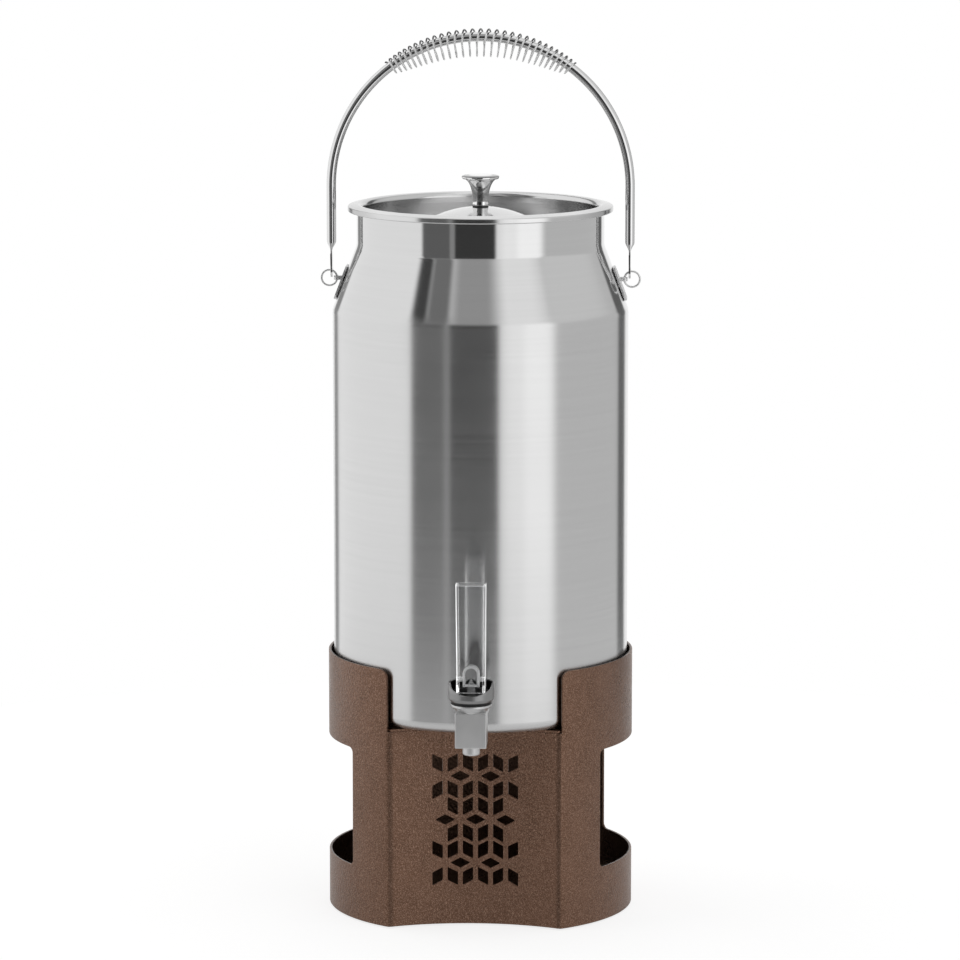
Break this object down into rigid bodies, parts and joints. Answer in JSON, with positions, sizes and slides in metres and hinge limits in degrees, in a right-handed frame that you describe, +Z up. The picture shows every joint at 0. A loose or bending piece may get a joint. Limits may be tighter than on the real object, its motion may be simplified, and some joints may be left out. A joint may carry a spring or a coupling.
{
  "type": "beverage urn",
  "caption": "Tall shouldered steel drink urn with a recessed lid, a swinging bail with a coil grip and a clear lever tap, on a folded sheet-metal stand.",
  "frame": {"origin": "on the can's axis, at the level of the table that the stand's feet rest on", "axes": "+Z up along the can's axis; the tap and the stand's front panel face -Y; the bail's pivots lie along X"},
  "size_m": [0.2384, 0.2731, 0.6592],
  "materials": {
    "brown_powder_coat": "bronze-brown hammered powder coat",
    "brushed_can": "horizontally brushed stainless steel",
    "liner_steel": "matt stainless steel",
    "satin_rim": "satin stainless steel",
    "polished_steel": "polished stainless steel",
    "spring_wire": "bright spring wire",
    "tap_chrome": "satin chrome on brass",
    "black_rubber": "black rubber",
    "red_silicone": "silicone",
    "clear_plastic": "clear moulded plastic",
    "zinc_screws": "zinc-plated steel"
  },
  "bodies": {
    "stand": {"stand_shell": "brown_powder_coat", "front_panel": "brown_powder_coat", "shelf_plate": "brown_powder_coat", "floor_plate": "brown_powder_coat", "stand_feet": "black_rubber", "foot_screws": "zinc_screws"},
    "container": {"can_outer": "brushed_can", "can_base": "brushed_can", "can_liner": "liner_steel", "can_rim": "satin_rim", "ear_left": "brushed_can", "ear_right": "brushed_can", "tap_body": "tap_chrome", "tap_washer_outer": "black_rubber", "tap_washer_inner": "black_rubber", "tap_nut": "tap_chrome", "tap_seal_ring": "black_rubber", "tap_bonnet": "tap_chrome", "stem_spring": "spring_wire"},
    "lid": {"lid_shell": "satin_rim", "lid_knob": "polished_steel", "knob_washer": "black_rubber", "knob_screw": "zinc_screws"},
    "bail": {"bail_tube": "polished_steel", "grip_coil": "spring_wire"},
    "link_left": {"ring_left": "spring_wire"},
    "link_right": {"ring_right": "spring_wire"},
    "valve": {"valve_stem": "tap_chrome", "seat_cup": "red_silicone", "lever_pin": "tap_chrome"},
    "lever": {"tap_lever": "clear_plastic"}
  },
  "joints": [
    {"name": "urn_lift", "type": "slide", "parent": "stand", "child": "container", "axis": [0, 0, 1], "range_m": [0, 0.08]},
    {"name": "lid_lift", "type": "slide", "parent": "container", "child": "lid", "axis": [0, 0, 1], "range_m": [0, 0.07]},
    {"name": "bail_swing", "type": "hinge", "parent": "container", "child": "bail", "pos_m": [0, 0, 0.4789], "axis": [1, 0, 0], "range_deg": [-130, 130]},
    {"name": "ring_left_rock", "type": "hinge", "parent": "container", "child": "link_left", "pos_m": [-0.1068, 0, 0.4734], "axis": [0, 0, 1], "range_deg": [-5, 5]},
    {"name": "ring_right_rock", "type": "hinge", "parent": "container", "child": "link_right", "pos_m": [0.1068, 0, 0.4734], "axis": [0, 0, 1], "range_deg": [-5, 5]},
    {"name": "stem_lift", "type": "slide", "parent": "container", "child": "valve", "axis": [0, 0, 1], "range_m": [0, 0.00366], "deforming": ["stem_spring"]},
    {"name": "lever_tilt", "type": "hinge", "parent": "valve", "child": "lever", "pos_m": [0, -0.142, 0.198], "axis": [1, 0, 0], "range_deg": [0, 35], "stiffness_Nm_per_rad": 0.15, "springref_deg": -17.19}
  ],
  "couplings": [
    {"joint": "lever_tilt", "follows": "stem_lift", "rad_per_m": 166.67}
  ]
}
